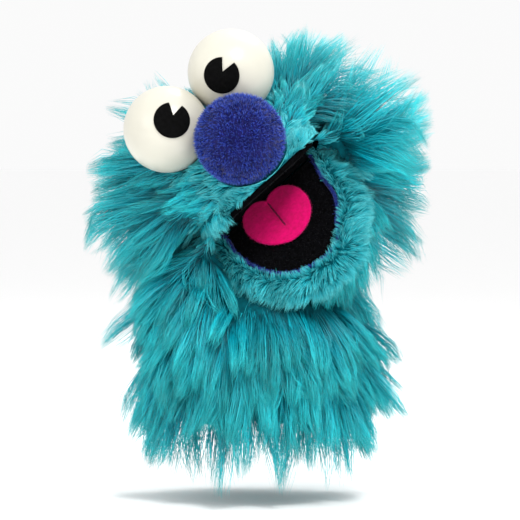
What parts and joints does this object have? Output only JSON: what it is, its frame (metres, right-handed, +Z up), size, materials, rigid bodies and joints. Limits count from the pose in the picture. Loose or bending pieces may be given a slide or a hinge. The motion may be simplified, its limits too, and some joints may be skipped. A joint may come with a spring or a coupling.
{
  "type": "moving mouth hand puppet",
  "caption": "Shaggy faux fur hand puppet with a hinged felt-lined mouth, tongue, ball eyes and round nose; the hand goes in through the hem.",
  "frame": {"origin": "middle of the hem opening, where the forearm goes in", "axes": "+Z up along the forearm, -Y out of the front, where the mouth and face are, +X to the viewer's right"},
  "size_m": [0.1453, 0.1456, 0.2069],
  "materials": {
    "long_fur": "long glossy acrylic pile",
    "short_fur": "short trimmed acrylic pile",
    "fur_backing": "knitted backing",
    "black_felt": "matte felt",
    "board": "matte",
    "foam": "open-cell foam",
    "elastic": "woven elastic",
    "eye_ball": "satin ivory",
    "pupil": "matte black",
    "blue_pile": "short glinting pile",
    "tongue_felt": "matte felt"
  },
  "bodies": {
    "sleeve": {"fur_sleeve_front": "long_fur", "fur_sleeve_back": "long_fur", "sleeve_backing": "fur_backing", "hem_band": "fur_backing", "side_seam_left": "fur_backing", "side_seam_right": "fur_backing"},
    "neck": {"fur_throat": "long_fur", "fur_nape": "long_fur", "neck_backing": "fur_backing"},
    "head": {"fur_crown_left": "long_fur", "fur_crown_right": "long_fur", "fur_cheek_left": "long_fur", "fur_cheek_right": "long_fur", "fur_back_left": "long_fur", "fur_back_right": "long_fur", "fur_upper_lip": "short_fur", "crown_foam": "foam", "mouth_felt_upper": "black_felt", "mouth_board_upper": "board", "mouth_fold_felt": "black_felt", "finger_strap": "elastic", "eye_ball_left": "eye_ball", "eye_ball_right": "eye_ball", "eye_seat_left": "foam", "eye_seat_right": "foam", "pupil_left": "pupil", "pupil_right": "pupil", "nose_cover": "blue_pile", "nose_core": "foam", "nose_anchor_disc": "black_felt"},
    "jaw": {"fur_chin": "short_fur", "fur_lower_lip": "short_fur", "lip_trim_lower": "blue_pile", "mouth_board_lower": "board", "mouth_felt_lower": "black_felt", "tongue": "tongue_felt", "tongue_crease_thread": "tongue_felt", "thumb_strap": "elastic"}
  },
  "joints": [
    {"name": "head_tilt", "type": "hinge", "parent": "sleeve", "child": "neck", "pos_m": [0.002, 0, 0.102], "axis": [0, 1, 0], "range_deg": [-8, 50]},
    {"name": "head_nod", "type": "hinge", "parent": "neck", "child": "head", "pos_m": [0.002, 0, 0.102], "axis": [0.7269, 0.2079, 0.6545], "range_deg": [-15, 15], "deforming": ["fur_throat", "fur_nape"]},
    {"name": "mouth_open", "type": "hinge", "parent": "head", "child": "jaw", "pos_m": [0.002, 0, 0.102], "axis": [0.7269, 0.2079, 0.6545], "range_deg": [-49, 12]}
  ]
}
